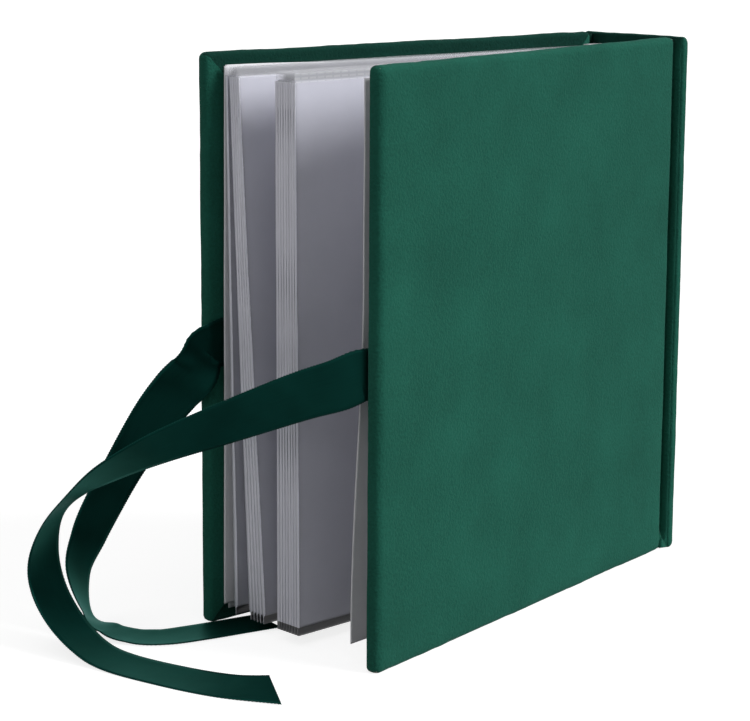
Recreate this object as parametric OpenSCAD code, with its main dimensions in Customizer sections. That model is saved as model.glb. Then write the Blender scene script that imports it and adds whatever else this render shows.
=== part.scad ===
// Velvet-covered album that stands on its tail edge: two padded covers on a spine panel,
// fourteen clear pocket leaves with card inserts, two flyleaves and two ribbon ties.
// X runs from the fore-edge to the spine, Y from the front cover to the back cover, Z up.

/* [Covers] */
// Height of the covers and the spine panel
cover_height = 230; // [200:1:260]
// Width of a cover from its spine-side edge to its fore-edge
cover_width = 221.4; // [214:0.2:240]
// Thickness of a padded cover
cover_thickness = 6.4; // [6:0.1:6.8]
// Thickness of the velvet where it wraps the covers and the spine
velvet_thickness = 0.6; // [0.4:0.1:0.8]
// Thickness of the foam under the velvet of a cover
padding_thickness = 0.8; // [0.5:0.1:1]
// Radius of the soft edges of a cover
edge_radius = 1.8; // [1.2:0.1:2.2]
// Width of the velvet turned in over the inside of a cover
turn_in = 14; // [11:0.5:20]
// How far the front cover stands open in the rest pose, in degrees
front_open = 11.8; // [11:0.1:14]

/* [Spine] */
// Width of the spine panel, across the closed album
spine_width = 58; // [57.8:0.1:60]
// Thickness of the card inside the spine panel
spine_card = 1; // [0.8:0.1:1]
// Radius of the soft edges of the spine panel
spine_radius = 1; // [0.6:0.1:1]
// Distance from a cover's pivot to its spine-side edge, which makes the groove
joint_gap = 5; // [5:0.1:6]
// Distance from the spine panel's edge to a cover's pivot, across the album
joint_inset = 4.1; // [3.9:0.1:4.2]
// Distance from a cover's pivot to its outer face
face_offset = 2.2; // [2:0.1:2.4]
// Radius of the rolled cloth at a cover's pivot
joint_radius = 0.5; // [0.3:0.05:0.5]

/* [Leaves] */
// Gap from the tail of the covers to the tail of the leaves
leaf_foot = 4.3; // [3.5:0.1:8]
// Gap from the head of the leaves to the head of the covers
leaf_head_gap = 5; // [3.5:0.1:8]
// Width of a pocket leaf from its hinge to its fore-edge
leaf_width = 209; // [200:0.5:210]
// Thickness of a pocket, both films together with the space between them
pocket_thickness = 1; // [0.9:0.05:1]
// Thickness of the card inside a pocket
card_thickness = 0.4; // [0.2:0.05:0.4]
// Thickness of each film of a pocket
film_thickness = 0.25; // [0.15:0.05:0.25]
// Width of the weld along the head, tail and spine side of a pocket
weld_width = 3.5; // [2:0.5:6]
// Radius of the welded bead at the root of a leaf, which lies on the leaf's hinge line
root_radius = 0.4; // [0.35:0.05:0.4]
// Thickness of a flyleaf
flyleaf_thickness = 0.4; // [0.2:0.05:0.5]
// Depth of the guard strips that bind the leaves
guard_depth = 11.3; // [6:0.1:11.3]
// Thickness of the film tail that each leaf leaves between two guard strips
tail_thickness = 0.4; // [0.2:0.1:0.6]

/* [Lining papers] */
// Thickness of the paper pasted inside a cover
pastedown_thickness = 0.4; // [0.3:0.05:0.5]
// Gap from the pastedown to the head and tail of its cover
pastedown_margin = 4.8; // [3:0.1:10]
// Gap from the pastedown to the fore-edge of its cover
pastedown_fore_margin = 8.9; // [8:0.1:13]

/* [Ribbons] */
// Width of the satin ribbons
ribbon_width = 20; // [15:0.5:24]
// Thickness of the satin ribbons
ribbon_thickness = 0.3; // [0.2:0.05:0.4]
// Height of the ribbons' middle above the tail edge, where they leave the covers
ribbon_height = 115.5; // [110:0.5:120]
// Length of ribbon glued under a pastedown
ribbon_tab = 25; // [15:1:40]

/* [Hidden] */

$fn = 48;
cut = 1;             // overrun of every cutting solid past the face that it opens
card_gap = 0.05;     // clearance between a card and the welds of its pocket
root_overlap = 0.3;  // where a pocket's films start, inside the bead at its root
pocket_floor = 8;    // where the space inside a pocket starts, from its hinge line

velvet_green = [0.07, 0.33, 0.26];
satin_green = [0.02, 0.22, 0.17];
board_grey = [0.55, 0.52, 0.47];
foam_white = [0.93, 0.92, 0.88];
paper_white = [0.93, 0.93, 0.95];
film_clear = [0.86, 0.87, 0.9, 0.45];

// The spine panel's outer face and the two pivot lines stay put when a size changes.
spine_x = 115.3;
middle_y = 21.5;
pivot_x = spine_x - 2.8;
spine_front_y = middle_y - spine_width / 2;
spine_back_y = middle_y + spine_width / 2;
front_pivot_y = spine_front_y + joint_inset;
back_pivot_y = spine_back_y - joint_inset;
spine_inner_x = spine_x - 2 * velvet_thickness - spine_card;

// Sections of a cover: along it from its pivot, and through it with the outer face positive.
cover_end = joint_gap + cover_width;
inner_face = face_offset - cover_thickness;
core_out = face_offset - velvet_thickness;
core_in = inner_face + velvet_thickness;
pad_in = core_out - padding_thickness;
core_radius = edge_radius - velvet_thickness;
pastedown_end = cover_end - pastedown_fore_margin;
pastedown_in = inner_face - pastedown_thickness;
tab_thickness = pastedown_thickness / 2;
ribbon_gap = 0.1;    // from the end of a glued tab to the free ribbon
ribbon_line = inner_face - ribbon_thickness / 2 - ribbon_gap;
ribbon_lift = 0.2;   // how far a free ribbon has left its cover where the next two start
front_edge_run = 2;  // from the front cover's fore-edge back to that place
back_edge_run = 5;   // from the back cover's fore-edge back to that place
upright = [150, 90]; // bearing and elevation of a ribbon's width at its root

// Leaves: [root y, fore-edge y at the head, fore-edge y at the tail], counted from the back.
leaf_x = 101.1;
leaf_head = cover_height - leaf_head_gap;
leaf_height = leaf_head - leaf_foot;
guard_x = spine_inner_x - guard_depth;
guard_clearance = 0.8;    // from the guard block to the inside of each closed cover
guard_y0 = front_pivot_y - inner_face + guard_clearance;
guard_y1 = back_pivot_y + inner_face - guard_clearance;
loose_leaf = [36.5, 38, 33.5];
back_section = [for (n = [4:-1:0]) [22.5 + 2.2 * n, 31.3 + 1.15 * n, 16.2 + 2 * n]];
front_section = [for (n = [7:-1:0]) [3 + 2.1 * n, -2.2 + 1.5 * n, -4.4 + 1.7 * n]];
leaves = concat([loose_leaf], back_section, front_section);

// Grid lines that a pocket and its card share, so that their facets run parallel.
card_columns = [for (part = [0.28, 0.52, 0.76]) part * leaf_width];
card_rows = [for (part = [0.25, 0.5, 0.75]) leaf_foot + part * leaf_height];

// Flyleaves: where they are hinged to their covers, and how far they stand off at rest.
flyleaf_root = 15.4;
flyleaf_reach = 205;
flyleaf_line = pastedown_in - 0.35;
fold_radius = 0.25;  // of the rounded fold at a flyleaf's hinge line
front_flyleaf_lag = 1.61;
back_flyleaf_head = 0.68;
back_flyleaf_foot = 0.15;

// Routes of the free ribbons past their covers: [x, y, z, bearing, elevation], where the last
// two turn the ribbon's width, from upright (elevation 90) to flat.
front_route = [
    [-112.5, -43.9, 115.2, 148, 88], [-118.7, -38.9, 111.8, 153, 76],
    [-127.6, -26.6, 106.5, 158, 59], [-142.1, 2, 93, 169, 43], [-154, 23.5, 82.3, 178, 31],
    [-164.3, 42.3, 70.9, 190, 18], [-172.1, 53, 61.3, 203, 4], [-176.9, 62.1, 50.2, 207, -3],
    [-179.1, 65.5, 35.5, 198, -4], [-178.2, 63.9, 22.9, 194, -1], [-177.1, 55.2, 12.1, 194, 0],
    [-176.4, 40.4, 4.4, 197, 1], [-174.4, 23.9, 1.2, 197, -2], [-168.7, -3.7, 1, 196, -4],
    [-161.9, -26.1, 1.5, 200, -7], [-153, -43.4, 2.4, 203, -12]
];
back_route = [
    [-113, 41.4, 115, 150, 89], [-117, 42.3, 113.2, 150, 86], [-120.8, 43.8, 104.3, 150, 79],
    [-124.2, 50.7, 96.2, 160, 65], [-129.6, 59, 83.4, 172, 52], [-137.5, 66, 66.4, 180, 38],
    [-145.5, 69.8, 51.4, 182, 32], [-151.3, 73.2, 37.4, 187, 24], [-157, 73, 24.1, 203, 17],
    [-157.4, 66.6, 7.5, 226, 13], [-153.5, 57, 2.6, 231, 1], [-149, 47.5, 0.8, 241, 0],
    [-141, 39.1, 0.6, 251, 0], [-127.3, 34.6, 0.6, 256, 0], [-109, 30.6, 0.6, 254, 0],
    [-95.5, 28, 0.5, 252, 0]
];

// A point on a cover in the rest pose, from its place along and through the cover.
function front_point(along, through, z) = [
    pivot_x - along * cos(front_open) + through * sin(front_open),
    front_pivot_y - along * sin(front_open) - through * cos(front_open), z];
function back_point(along, through, z) = [pivot_x - along, back_pivot_y + through, z];

// Triangles in place of a polygon whose corners are given in order, all from its first corner.
function fan(p) = [for (k = [1:len(p) - 2]) [p[0], p[k + 1], p[k]]];

// Two triangles in place of a quad whose corners are given in order.
function quad(a, b, c, d) = [[a, d, b], [b, d, c]];

// A closed sheet between two grids of points with the same rows and columns.
function sheet_faces(rows, columns) =
    let (n = rows * columns,
        rim = concat([for (j = [0:columns - 1]) j],
            [for (i = [1:rows - 1]) i * columns + columns - 1],
            [for (j = [columns - 2:-1:0]) (rows - 1) * columns + j],
            [for (i = [rows - 2:-1:1]) i * columns]))
    concat(
        [for (i = [0:rows - 2], j = [0:columns - 2]) let (a = i * columns + j)
            each quad(a, a + columns, a + columns + 1, a + 1)],
        [for (i = [0:rows - 2], j = [0:columns - 2]) let (a = n + i * columns + j)
            each quad(a, a + 1, a + columns + 1, a + columns)],
        [for (k = [0:len(rim) - 1]) let (a = rim[k], b = rim[(k + 1) % len(rim)])
            each quad(a, b, n + b, n + a)]);

// Points of a sheet hinged at [x, y], whose fore-edge has one y at its head and one at its tail.
function sheet_points(x, leaf, reach, thickness, columns, rows) = [
    for (side = [1, -1], z = rows, r = columns)
        let (part = (z - leaf_foot) / leaf_height,
            fore_y = leaf[2] + (leaf[1] - leaf[2]) * part,
            lean = asin((leaf[0] - fore_y) / reach))
        [x - r * cos(lean) + side * thickness / 2 * sin(lean),
            leaf[0] - r * sin(lean) - side * thickness / 2 * cos(lean), z]];

module leaning_sheet(x, leaf, reach, thickness, columns, rows) {
    polyhedron(sheet_points(x, leaf, reach, thickness, columns, rows),
        sheet_faces(len(rows), len(columns)), convexity = 4);
}

// A ribbon of rectangular section swept along [x, y, z, bearing, elevation]. Its two broad sides
// are split along the same diagonal, so that it stays equally thick where it twists.
module ribbon(route) {
    last = len(route) - 1;
    function place(k) = [route[k][0], route[k][1], route[k][2]];
    function unit(v) = v / norm(v);
    function ahead(k) = unit(place(min(k + 1, last)) - place(max(k - 1, 0)));
    function broad(k) = let (b = route[k][3], e = route[k][4], t = ahead(k),
        w = [cos(e) * cos(b), cos(e) * sin(b), sin(e)]) unit(w - (w * t) * t);
    points = [for (k = [0:last]) let (w = broad(k) * ribbon_width / 2,
        n = cross(ahead(k), broad(k)) * ribbon_thickness / 2)
        each [place(k) + w + n, place(k) + w - n, place(k) - w - n, place(k) - w + n]];
    sides = [for (k = [0:last - 1], s = [0:3]) let (a = 4 * k + s, b = 4 * k + (s + 1) % 4)
        each s < 2 ? [[a, b, b + 4], [a, b + 4, a + 4]] : [[a, b, a + 4], [b, b + 4, a + 4]]];
    ends = [[0, 3, 2], [0, 2, 1], [4 * last, 4 * last + 1, 4 * last + 2],
        [4 * last, 4 * last + 2, 4 * last + 3]];
    polyhedron(points, concat(sides, ends), convexity = 8);
}

// Moves a cover drawn along its own axes (x from the pivot, y outward) to its place.
module on_cover(side) {
    if (side == "front")
        translate([pivot_x, front_pivot_y, 0]) rotate([0, 0, 180 + front_open]) children();
    else
        translate([pivot_x, back_pivot_y, 0]) mirror([0, 1, 0]) rotate([0, 0, 180]) children();
}

module rounded_rectangle(x0, x1, y0, y1, radius) {
    hull_x = [x0 + radius, x1 - radius];
    hull_y = [y0 + radius, y1 - radius];
    translate([hull_x[0], y0]) square([hull_x[1] - hull_x[0], y1 - y0]);
    translate([x0, hull_y[0]]) square([x1 - x0, hull_y[1] - hull_y[0]]);
    for (x = hull_x, y = hull_y) translate([x, y]) circle(r = radius);
}

// A slab with all its long edges rounded, as a true intersection of two sections.
module soft_slab(x0, x1, y0, y1, z0, z1, radius) {
    intersection() {
        translate([0, 0, z0]) linear_extrude(z1 - z0)
            rounded_rectangle(x0, x1, y0, y1, radius);
        translate([x0, 0, 0]) rotate([90, 0, 90]) linear_extrude(x1 - x0)
            rounded_rectangle(y0, y1, z0, z1, radius);
    }
}

module cover_core() {
    soft_slab(joint_gap + velvet_thickness, cover_end - velvet_thickness, core_in, core_out,
        velvet_thickness, cover_height - velvet_thickness, core_radius);
}

module board(side) {
    color(board_grey) on_cover(side) intersection() {
        cover_core();
        translate([joint_gap, core_in - cut, 0])
            cube([cover_width, pad_in - core_in + cut, cover_height]);
    }
}

module padding(side) {
    color(foam_white) on_cover(side) intersection() {
        cover_core();
        translate([joint_gap, pad_in, 0])
            cube([cover_width, padding_thickness + cut, cover_height]);
    }
}

// Opening that the turned-in velvet leaves on the inside of a cover.
module inner_window(y0, y1) {
    translate([joint_gap + turn_in, y0, turn_in])
        cube([cover_width - 2 * turn_in, y1 - y0, cover_height - 2 * turn_in]);
}

module velvet(side) {
    color(velvet_green) on_cover(side) {
        difference() {
            soft_slab(joint_gap, cover_end, inner_face, face_offset, 0, cover_height,
                edge_radius);
            cover_core();
            inner_window(inner_face - cut, core_in + cut);
        }
        translate([0, -velvet_thickness / 2, edge_radius])
            cube([joint_gap, velvet_thickness, cover_height - 2 * edge_radius]);
        translate([0, 0, edge_radius])
            cylinder(r = joint_radius, h = cover_height - 2 * edge_radius);
    }
}

module tab_solid() {
    translate([pastedown_end - ribbon_tab, inner_face - tab_thickness,
        ribbon_height - ribbon_width / 2])
        cube([ribbon_tab, tab_thickness, ribbon_width]);
}

module pastedown(side) {
    color(paper_white) on_cover(side) difference() {
        union() {
            inner_window(inner_face, core_in);
            translate([joint_gap + 4, pastedown_in, pastedown_margin])
                cube([pastedown_end - joint_gap - 4, pastedown_thickness,
                    cover_height - 2 * pastedown_margin]);
        }
        tab_solid();
    }
}

module ribbon_tab(side) {
    color(satin_green) on_cover(side) tab_solid();
}

module front_ribbon() {
    start = front_point(pastedown_end + ribbon_gap, ribbon_line, ribbon_height);
    edge = front_point(cover_end - front_edge_run, ribbon_line - ribbon_lift, ribbon_height);
    color(satin_green)
        ribbon(concat([[each start, each upright], [each edge, each upright]], front_route));
}

module back_ribbon() {
    start = back_point(pastedown_end + ribbon_gap, ribbon_line, ribbon_height);
    edge = back_point(cover_end - back_edge_run, ribbon_line - ribbon_lift, ribbon_height);
    color(satin_green)
        ribbon(concat([[each start, each upright], [each edge, each upright]], back_route));
}

module front_flyleaf() {
    color(paper_white) on_cover("front") translate([flyleaf_root, flyleaf_line, leaf_foot])
        rotate([0, 0, -front_flyleaf_lag]) {
            translate([0, -flyleaf_thickness / 2, 0])
                cube([flyleaf_reach, flyleaf_thickness, leaf_height]);
            cylinder(r = fold_radius, h = leaf_height);
        }
}

module back_flyleaf() {
    root = back_point(flyleaf_root, flyleaf_line, 0);
    leaf = [root[1], root[1] - flyleaf_reach * sin(back_flyleaf_head),
        root[1] - flyleaf_reach * sin(back_flyleaf_foot)];
    color(paper_white) {
        leaning_sheet(root[0], leaf, flyleaf_reach, flyleaf_thickness,
            [0, each card_columns, flyleaf_reach], [leaf_foot, each card_rows, leaf_head]);
        translate([root[0], root[1], leaf_foot]) cylinder(r = fold_radius, h = leaf_height);
    }
}

module spine_card() {
    color(board_grey)
        translate([spine_x - velvet_thickness - spine_card,
            spine_front_y + velvet_thickness, velvet_thickness])
        cube([spine_card, spine_width - 2 * velvet_thickness,
            cover_height - 2 * velvet_thickness]);
}

// Opening between the velvet turned in at the spine panel's head and tail.
module spine_window() {
    translate([spine_inner_x, spine_front_y + spine_radius, turn_in])
        cube([velvet_thickness, spine_width - 2 * spine_radius, cover_height - 2 * turn_in]);
}

module spine_velvet() {
    color(velvet_green) difference() {
        soft_slab(spine_inner_x, spine_x, spine_front_y, spine_back_y, 0, cover_height,
            spine_radius);
        spine_card();
        spine_window();
    }
}

module spine_lining() {
    color(paper_white) spine_window();
}

// Edges across the album of the leaf tails, with the ends of the guard block.
tail_edges = concat([guard_y1], [for (leaf = leaves)
    each [leaf[0] + tail_thickness / 2, leaf[0] - tail_thickness / 2]], [guard_y0]);

module guard_strips() {
    color(board_grey) for (k = [0:2:len(tail_edges) - 2])
        translate([guard_x, tail_edges[k + 1], leaf_foot])
        cube([guard_depth, tail_edges[k] - tail_edges[k + 1], leaf_height]);
}

module leaf_tails() {
    color(film_clear) for (leaf = leaves)
        translate([guard_x, leaf[0] - tail_thickness / 2, leaf_foot])
        cube([guard_depth, tail_thickness, leaf_height]);
}

// A pocket: two films welded along the spine side, head and tail, open at the fore-edge.
// Its outer skin has every row and column; its inner skin leaves out the welds.
module open_pocket(leaf) {
    rows = [leaf_foot, leaf_foot + weld_width, each card_rows, leaf_head - weld_width,
        leaf_head];
    columns = [root_overlap, pocket_floor, each card_columns, leaf_width];
    nr = len(rows);
    nc = len(columns);
    space = pocket_thickness - 2 * film_thickness;
    outer = sheet_points(leaf_x, leaf, leaf_width, pocket_thickness, columns, rows);
    inner = sheet_points(leaf_x, leaf, leaf_width, space,
        [for (j = [1:nc - 1]) columns[j]], [for (i = [1:nr - 2]) rows[i]]);
    function out(side, i, j) = (side * nr + i) * nc + j;
    function in(side, i, j) = len(outer) + (side * (nr - 2) + i - 1) * (nc - 1) + j - 1;
    last = nc - 1;
    head = nr - 2;
    skins = [for (i = [0:nr - 2], j = [0:nc - 2]) each concat(
        quad(out(0, i, j), out(0, i + 1, j), out(0, i + 1, j + 1), out(0, i, j + 1)),
        quad(out(1, i, j), out(1, i, j + 1), out(1, i + 1, j + 1), out(1, i + 1, j)))];
    linings = [for (i = [1:nr - 3], j = [1:nc - 2]) each concat(
        quad(in(0, i, j), in(0, i, j + 1), in(0, i + 1, j + 1), in(0, i + 1, j)),
        quad(in(1, i, j), in(1, i + 1, j), in(1, i + 1, j + 1), in(1, i, j + 1)))];
    spine_edge = concat(
        [for (i = [0:nr - 2])
            each quad(out(0, i + 1, 0), out(0, i, 0), out(1, i, 0), out(1, i + 1, 0))],
        [for (i = [1:nr - 3])
            each quad(in(0, i, 1), in(0, i + 1, 1), in(1, i + 1, 1), in(1, i, 1))]);
    ends = concat(
        [for (j = [0:nc - 2]) each concat(
            quad(out(0, 0, j), out(0, 0, j + 1), out(1, 0, j + 1), out(1, 0, j)),
            quad(out(0, nr - 1, j + 1), out(0, nr - 1, j), out(1, nr - 1, j),
                out(1, nr - 1, j + 1)))],
        [for (j = [1:nc - 2]) each concat(
            quad(in(0, 1, j + 1), in(0, 1, j), in(1, 1, j), in(1, 1, j + 1)),
            quad(in(0, head, j), in(0, head, j + 1), in(1, head, j + 1), in(1, head, j)))]);
    lips = [for (i = [1:nr - 3]) each concat(
        quad(out(0, i, last), out(0, i + 1, last), in(0, i + 1, last), in(0, i, last)),
        quad(in(1, i, last), in(1, i + 1, last), out(1, i + 1, last), out(1, i, last)))];
    a = out(0, 0, last);
    b = out(0, nr - 1, last);
    foot_lip = fan([a, out(0, 1, last), in(0, 1, last), in(1, 1, last), out(1, 1, last),
        out(1, 0, last)]);
    head_lip = fan([b, out(1, nr - 1, last), out(1, head, last), in(1, head, last),
        in(0, head, last), out(0, head, last)]);
    polyhedron(concat(outer, inner),
        concat(skins, linings, spine_edge, ends, lips, foot_lip, head_lip), convexity = 6);
}

module pocket(leaf) {
    color(film_clear) {
        open_pocket(leaf);
        translate([leaf_x, leaf[0], leaf_foot]) cylinder(r = root_radius, h = leaf_height);
    }
}

module card(leaf) {
    color(paper_white) leaning_sheet(leaf_x, leaf, leaf_width, card_thickness,
        [pocket_floor + card_gap, each card_columns, leaf_width - 1],
        [leaf_foot + weld_width + card_gap, each card_rows,
            leaf_head - weld_width - card_gap]);
}

spine_card();
spine_velvet();
spine_lining();
guard_strips();
leaf_tails();
for (side = ["front", "back"]) {
    board(side);
    padding(side);
    velvet(side);
    pastedown(side);
    ribbon_tab(side);
}
front_ribbon();
back_ribbon();
front_flyleaf();
back_flyleaf();
for (n = [1:14]) {
    pocket(leaves[n - 1]);
    card(leaves[n - 1]);
}
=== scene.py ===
import math

import bpy
from mathutils import Matrix, Vector, noise


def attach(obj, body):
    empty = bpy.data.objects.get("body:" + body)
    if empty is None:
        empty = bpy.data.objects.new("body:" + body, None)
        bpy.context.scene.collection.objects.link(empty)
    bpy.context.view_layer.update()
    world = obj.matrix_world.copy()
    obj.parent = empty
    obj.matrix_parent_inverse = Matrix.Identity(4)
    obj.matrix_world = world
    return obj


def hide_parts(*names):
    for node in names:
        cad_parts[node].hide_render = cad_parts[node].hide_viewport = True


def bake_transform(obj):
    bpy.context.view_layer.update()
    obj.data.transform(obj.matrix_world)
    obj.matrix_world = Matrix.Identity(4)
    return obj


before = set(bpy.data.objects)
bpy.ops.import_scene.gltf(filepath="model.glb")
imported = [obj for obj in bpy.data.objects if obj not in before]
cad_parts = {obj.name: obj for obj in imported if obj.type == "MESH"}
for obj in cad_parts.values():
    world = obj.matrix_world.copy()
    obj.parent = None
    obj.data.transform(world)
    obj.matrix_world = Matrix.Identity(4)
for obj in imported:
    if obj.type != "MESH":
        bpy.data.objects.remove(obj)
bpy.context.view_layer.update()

# ---- Camera ----
# A long lens just above head height, which looks into the open fore-edges
# with the front cover on the right.
CAMERA_PLACE = Vector((-0.7123, -0.6954, 0.2958))
CAMERA_AZIMUTH = math.radians(46.97)
CAMERA_PITCH = math.radians(11.148)
CAMERA_ROLL = math.radians(0.362)
CAMERA_LENS, CAMERA_SENSOR = 116.69, 36

forward = Vector((math.cos(CAMERA_PITCH) * math.cos(CAMERA_AZIMUTH),
                  math.cos(CAMERA_PITCH) * math.sin(CAMERA_AZIMUTH), -math.sin(CAMERA_PITCH)))
level = Vector((math.sin(CAMERA_AZIMUTH), -math.cos(CAMERA_AZIMUTH), 0))
upright = level.cross(forward)
right = math.cos(CAMERA_ROLL) * level + math.sin(CAMERA_ROLL) * upright
up = math.cos(CAMERA_ROLL) * upright - math.sin(CAMERA_ROLL) * level
camera = bpy.data.objects.new("camera", bpy.data.cameras.new("camera"))
camera.data.lens = CAMERA_LENS
camera.data.sensor_width = CAMERA_SENSOR
camera.matrix_world = Matrix.Translation(CAMERA_PLACE) @ Matrix(
    (right, up, -forward)).transposed().to_4x4()
bpy.context.scene.collection.objects.link(camera)
bpy.context.scene.camera = camera

# ---- Ribbon ties ----
# Two 20 mm ties of double-faced satin ribbon with a fine picot selvedge. One end of each is
# glued under a cover's pastedown, and the free part falls from the fore-edge onto the table.
FRONT_OPEN = math.radians(11.8)
PIVOT_X = 0.1125
FRONT_PIVOT_Y, BACK_PIVOT_Y = -0.0034, 0.0464
INNER_FACE = -0.0042
RIBBON_WIDTH, RIBBON_THICKNESS = 0.020, 0.0003
RIBBON_HEIGHT = 0.1155
GLUED_FROM, GLUE, RIBBON_RISE = 0.2176, 0.0001, 0.0002
FRONT_LEAVES, BACK_LEAVES = 0.2244, 0.2214
RIBBON_CUP, CUP_FADE = 0.0005, 0.020
FRONT_SLANT = 0.0125
BACK_GATHER, GATHER_REACH = 0.17, 0.007
RIBBON_COLUMNS = 12
CURVE_STEPS = 24
PICOT_PITCH, PICOT_DEPTH = 0.0011, 0.00012
SATIN_GREEN = (0.0026, 0.026, 0.0212)


def front_point(along, through, z):
    """A point on the front cover, from its place along it and through it (outward)."""
    return Vector((PIVOT_X - along * math.cos(FRONT_OPEN) + through * math.sin(FRONT_OPEN),
                   FRONT_PIVOT_Y - along * math.sin(FRONT_OPEN) - through * math.cos(FRONT_OPEN),
                   z))


def back_point(along, through, z):
    """The same for the back cover."""
    return Vector((PIVOT_X - along, BACK_PIVOT_Y + through, z))


# Route stations: x, y and z in mm, then the bearing and elevation of the ribbon's width.
FRONT_ROUTE = [
    (-112.5, -43.9, 115.2, 148, 88), (-118.7, -38.9, 111.8, 153, 76),
    (-127.6, -26.6, 106.5, 158, 59), (-142.1, 2, 93, 169, 43), (-154, 23.5, 82.3, 178, 31),
    (-164.3, 42.3, 70.9, 190, 18), (-172.1, 53, 61.3, 203, 4), (-176.9, 62.1, 50.2, 207, -3),
    (-179.1, 65.5, 35.5, 198, -4), (-178.2, 63.9, 22.9, 194, -1), (-177.1, 55.2, 12.1, 194, 0),
    (-176.4, 40.4, 4.4, 197, 1), (-174.4, 23.9, 1.2, 197, -2), (-168.7, -3.7, 1, 196, -4),
    (-161.9, -26.1, 1.5, 200, -7), (-153, -43.4, 2.4, 203, -12)]
BACK_ROUTE = [
    (-113, 41.4, 115, 150, 89), (-117, 42.3, 113.2, 150, 86), (-120.8, 43.8, 104.3, 150, 79),
    (-124.2, 50.7, 96.2, 160, 65), (-129.6, 59, 83.4, 172, 52), (-137.5, 66, 66.4, 180, 38),
    (-145.5, 69.8, 51.4, 182, 32), (-151.3, 73.2, 37.4, 187, 24), (-157, 73, 24.1, 203, 17),
    (-157.4, 66.6, 7.5, 226, 13), (-153.5, 57, 2.6, 231, 1), (-149, 47.5, 0.8, 241, 0),
    (-141, 39.1, 0.6, 251, 0), (-127.3, 34.6, 0.6, 256, 0), (-109, 30.6, 0.6, 254, 0),
    (-95.5, 28, 0.5, 252, 0)]


def stations(start, edge, route):
    """Route stations as (place, bearing, elevation), with the two on the cover put first."""
    on_cover = [(start, route[0][3], 90), (edge, route[0][3], 90)]
    return on_cover + [(Vector(r[:3]) / 1000, r[3], r[4]) for r in route]


def smooth_route(line, step):
    """Evenly spaced (place, bearing, elevation) on one smooth curve through the stations."""
    rows = [(*p, b, e) for p, b, e in line]
    rows = [rows[0], *rows, rows[-1]]
    fine = []
    for k in range(1, len(rows) - 2):
        for s in range(CURVE_STEPS):
            t = s / CURVE_STEPS
            fine.append([0.5 * (2 * b + (c - a) * t + (2 * a - 5 * b + 4 * c - d) * t * t
                                + (3 * b - a - 3 * c + d) * t ** 3)
                         for a, b, c, d in zip(rows[k - 1], rows[k], rows[k + 1], rows[k + 2])])
    fine.append(list(rows[-1]))
    run = [0]
    for a, b in zip(fine, fine[1:]):
        run.append(run[-1] + (Vector(b[:3]) - Vector(a[:3])).length)
    count = int(run[-1] / step)
    spaced, k = [], 0
    for n in range(count + 1):
        want = run[-1] * n / count
        while k < len(run) - 2 and run[k + 1] < want:
            k += 1
        t = (want - run[k]) / (run[k + 1] - run[k])
        spaced.append([u + (v - u) * t for u, v in zip(fine[k], fine[k + 1])])
    return spaced, run[-1]


def closed_faces(rows, columns):
    """Faces of a sheet with two skins of rows by columns points, then those of its rim, and the
    pairs of points that the rim's faces join."""
    count = rows * columns
    faces = []
    for i in range(rows - 1):
        for k in range(columns - 1):
            a = i * columns + k
            faces.append((a, a + 1, a + columns + 1, a + columns))
            faces.append((count + a, count + a + columns, count + a + columns + 1, count + a + 1))
    rim = list(range(columns)) + [i * columns + columns - 1 for i in range(1, rows)]
    rim += [(rows - 1) * columns + k for k in range(columns - 2, -1, -1)]
    rim += [i * columns for i in range(rows - 2, 0, -1)]
    edges = list(zip(rim, rim[1:] + rim[:1]))
    return faces + [(b, a, count + a, count + b) for a, b in edges], edges


def new_piece(name, points, faces, *materials):
    """A smooth-shaded mesh object with its materials."""
    mesh = bpy.data.meshes.new(name)
    mesh.from_pydata(points, [], faces)
    for material in materials:
        mesh.materials.append(material)
    mesh.shade_smooth()
    piece = bpy.data.objects.new(name, mesh)
    bpy.context.scene.collection.objects.link(piece)
    return piece


def add_map(piece, name, places):
    """A UV map from one (u, v) for each point of the mesh."""
    layer = piece.data.uv_layers.new(name=name)
    for corner in piece.data.loops:
        layer.data[corner.index].uv = places[corner.vertex_index]


def ribbon_piece(name, line, slant, gather, turn, material):
    """A thin closed strip with a picot edge, its UV map in metres along and across it. Its
    free end is cut at a slant, and its upper edge is gathered about the place turn."""
    step = PICOT_PITCH / 2
    spaced, length = smooth_route(line, step)
    last = len(spaced) - 1
    path = [Vector(r[:3]) for r in spaced]
    points, uvs = [], []
    for side in (1, -1):
        for i, (*_, bearing, elevation) in enumerate(spaced):
            ahead = (path[min(i + 1, last)] - path[max(i - 1, 0)]).normalized()
            bearing, elevation = math.radians(bearing), math.radians(elevation)
            broad = Vector((math.cos(elevation) * math.cos(bearing),
                            math.cos(elevation) * math.sin(bearing), math.sin(elevation)))
            broad = (broad - broad.dot(ahead) * ahead).normalized()
            normal = ahead.cross(broad).normalized()
            near_end = max(0, 1 - (last - i) * step / CUP_FADE)
            loose = min(1, i * step / CUP_FADE)
            drawn_in = gather * math.exp(-(((path[i] - turn).length / GATHER_REACH) ** 2))
            for j in range(RIBBON_COLUMNS + 1):
                v = 2 * j / RIBBON_COLUMNS - 1
                across = v * RIBBON_WIDTH / 2 * (1 - drawn_in if v > 0 else 1)
                if j in (0, RIBBON_COLUMNS):
                    across += v * (PICOT_DEPTH if i % 2 else -PICOT_DEPTH)
                lift = RIBBON_CUP * loose * (1 - v * v) * (1 - near_end)
                point = (path[i] + broad * across + normal * lift
                         + ahead * slant * v / 2 * near_end)
                points.append(point + normal * side * RIBBON_THICKNESS / 2)
                uvs.append((i * step, across))
    tie = new_piece(name, points, closed_faces(last + 1, RIBBON_COLUMNS + 1)[0], material)
    add_map(tie, "weave", uvs)
    count = len(points) // 2
    for face in tie.data.polygons:
        corners = face.vertices
        face.use_smooth = min(corners) >= count or max(corners) < count
    return tie, path, length


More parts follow.
